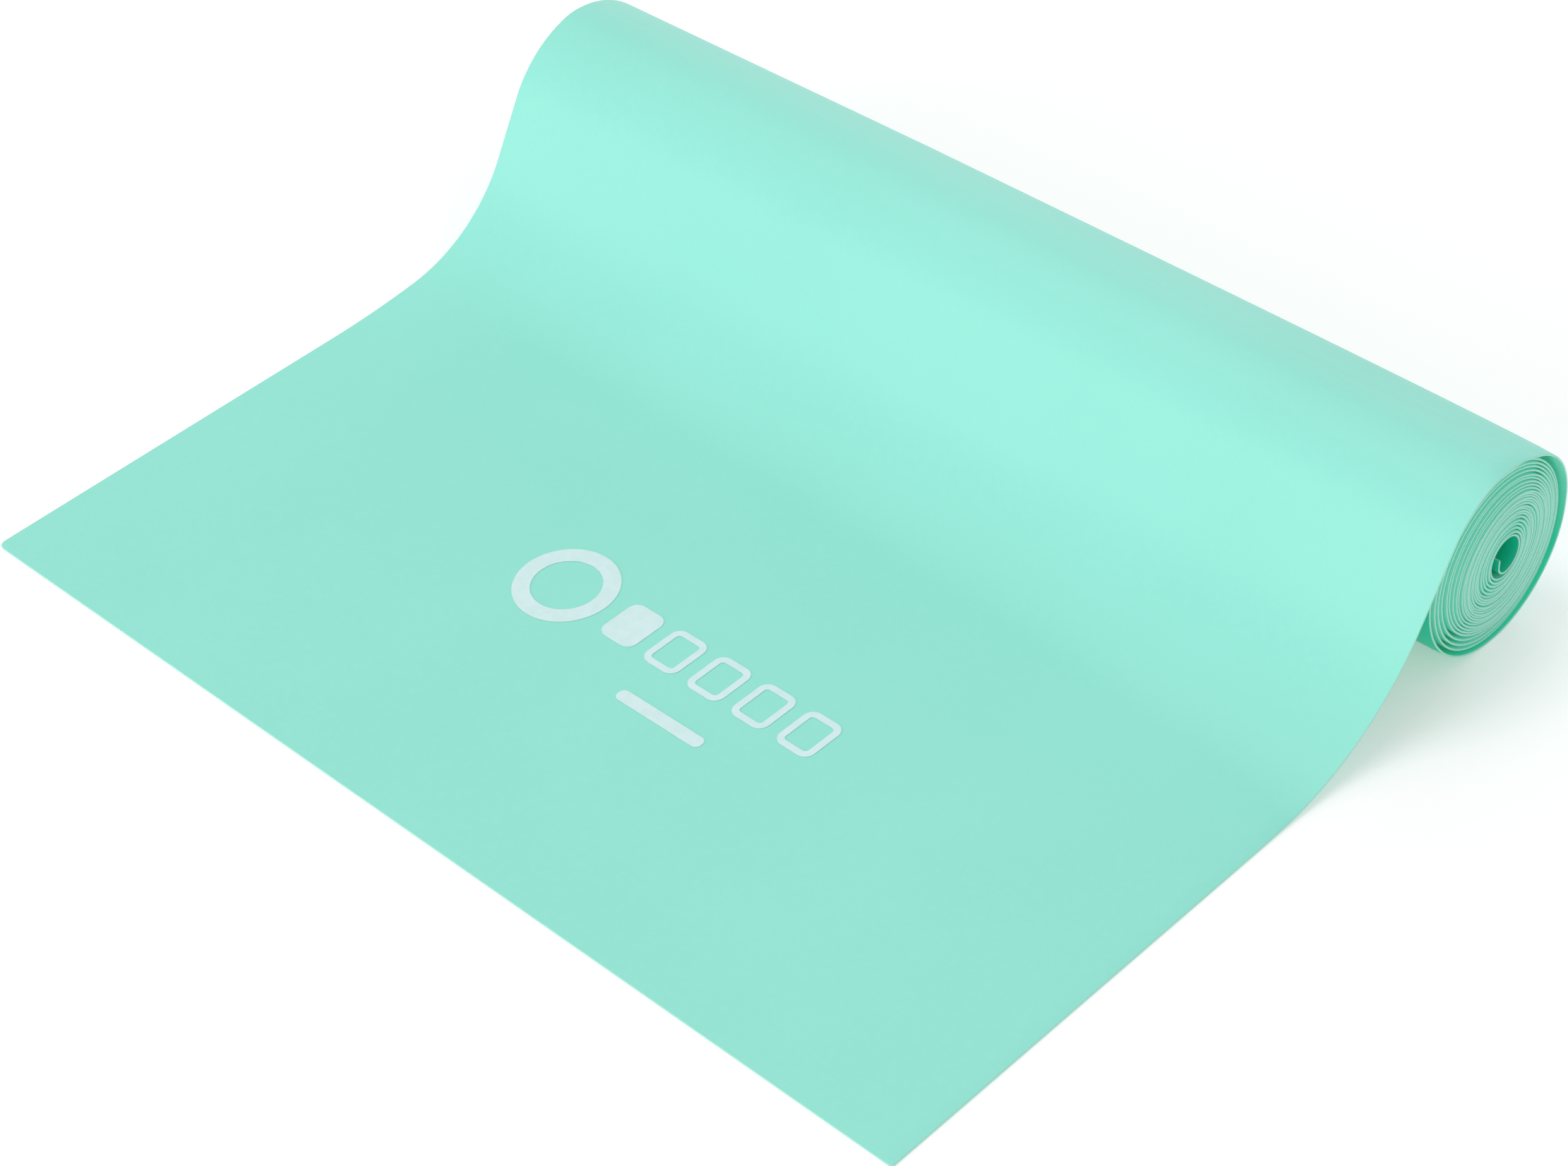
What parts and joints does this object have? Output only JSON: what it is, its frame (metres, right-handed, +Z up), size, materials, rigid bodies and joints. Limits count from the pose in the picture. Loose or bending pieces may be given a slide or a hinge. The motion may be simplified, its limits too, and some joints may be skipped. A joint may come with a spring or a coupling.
{
  "type": "resistance band",
  "caption": "Flat latex exercise band, rolled up at one end, with a free tail that lies flat and a row of plain printed level marks.",
  "frame": {"origin": "middle of the footprint, on the surface that the band lies on", "axes": "+X along the band's width, +Y from the free end towards the roll, +Z up"},
  "size_m": [0.1516, 0.1144, 0.0258],
  "materials": {
    "latex": "smooth matte mint latex, lightly powdered",
    "ink": "thin pale print"
  },
  "bodies": {
    "roll": {"outer_wrap": "latex", "rising_stretch": "latex"},
    "roll_core": {"wound_turns": "latex"},
    "tail_base": {"tail_root": "latex"},
    "tail_panel": {"tail_middle": "latex", "print_ring": "ink", "print_bar_1": "ink", "print_bar_2": "ink", "print_bar_3": "ink", "print_bar_4": "ink", "print_bar_5": "ink", "print_rule": "ink"},
    "tail_tip": {"tail_end": "latex"}
  },
  "joints": [
    {"name": "pull_out", "type": "slide", "parent": "roll", "child": "tail_base", "axis": [0, -1, 0], "range_m": [0, 0.078]},
    {"name": "roll_turn", "type": "hinge", "parent": "roll", "child": "roll_core", "pos_m": [0, 0.04537, 0.01194], "axis": [1, 0, 0], "range_deg": [0, 360]},
    {"name": "tail_lift", "type": "hinge", "parent": "tail_base", "child": "tail_panel", "pos_m": [0.00075, -0.00517, 0.00013], "axis": [-1, 0, 0], "range_deg": [0, 100]},
    {"name": "tail_curl", "type": "hinge", "parent": "tail_panel", "child": "tail_tip", "pos_m": [0.00075, -0.03517, 0.00013], "axis": [-1, 0, 0], "range_deg": [0, 100]}
  ],
  "couplings": [
    {"joint": "roll_turn", "follows": "pull_out", "rad_per_m": 79.7}
  ]
}
